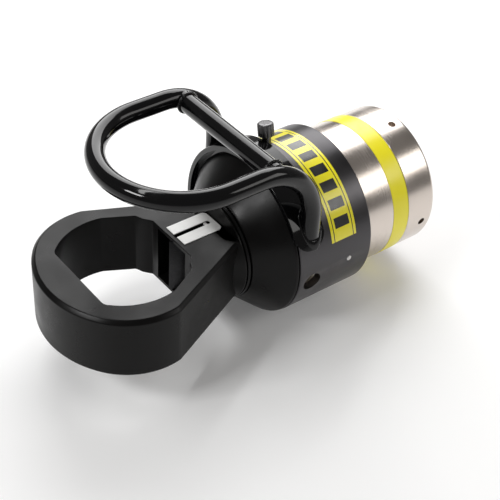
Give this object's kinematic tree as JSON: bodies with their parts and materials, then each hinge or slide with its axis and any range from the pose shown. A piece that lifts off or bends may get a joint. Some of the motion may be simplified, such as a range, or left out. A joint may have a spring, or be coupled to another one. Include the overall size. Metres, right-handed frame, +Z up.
{
  "type": "hydraulic nut splitter",
  "caption": "Single-acting hydraulic nut splitter: ring head with a sliding chisel blade, a spring-return cylinder and a loop carrying handle on a swivel collar.",
  "frame": {"origin": "centre of the oil port's mouth, on the cylinder's axis, at the rear face", "axes": "+X out of the oil port along the cylinder's axis, so the tool lies along -X; +Z up through the carrying handle and along the axis of the nut"},
  "size_m": [0.405, 0.1767, 0.2205],
  "materials": {
    "black_steel": "satin black oxide",
    "gloss_black": "gloss black enamel",
    "dark_collar": "satin dark grey anodised",
    "nickel": "satin nickel plate",
    "yellow": "satin yellow enamel",
    "white_plate": "matte white enamel",
    "tool_steel": "ground tool steel",
    "bright_steel": "bright steel",
    "black_fastener": "black oxide",
    "bronze": "machined bronze",
    "nylon": "natural nylon",
    "seal_rubber": "nitrile rubber",
    "spring_steel": "oiled spring steel"
  },
  "bodies": {
    "frame": {"splitter_head": "black_steel", "depth_scale": "white_plate", "guide_bush": "bronze", "rod_wiper": "seal_rubber", "head_lock_screws": "black_fastener", "cylinder_barrel": "nickel", "yellow_band": "yellow", "retaining_ring": "black_fastener", "end_cap": "nickel", "cap_seal": "seal_rubber", "cap_backup_ring": "nylon", "cap_lock_screw": "black_fastener", "return_spring": "spring_steel"},
    "blade_ram": {"blade": "tool_steel", "scale_pointer": "bright_steel", "ram": "bright_steel", "blade_screw": "black_fastener", "ram_seal": "seal_rubber", "piston": "tool_steel", "piston_nut": "black_fastener", "piston_seal": "seal_rubber", "backup_ring": "nylon", "piston_guide_ring": "nylon"},
    "handle": {"swivel_collar": "dark_collar", "collar_liner": "nylon", "label_plate": "yellow", "grease_nipple": "bright_steel", "handle_saddle": "gloss_black", "saddle_screws": "black_fastener", "handle_loop": "gloss_black", "handle_crossbar": "gloss_black"},
    "knob": {"lock_knob": "bright_steel", "lock_pad": "nylon"}
  },
  "joints": [
    {"name": "blade_stroke", "type": "slide", "parent": "frame", "child": "blade_ram", "axis": [-1, 0, 0], "range_m": [0, 0.032], "stiffness_N_per_m": 25000, "springref_m": -0.012, "deforming": ["return_spring"]},
    {"name": "handle_swivel", "type": "hinge", "parent": "frame", "child": "handle", "pos_m": [-0.137, 0, 0], "axis": [1, 0, 0], "continuous": true},
    {"name": "knob_turn", "type": "hinge", "parent": "handle", "child": "knob", "pos_m": [-0.1495, 0, 0], "axis": [0, 0.2079, 0.9781], "range_deg": [0, 720]}
  ]
}
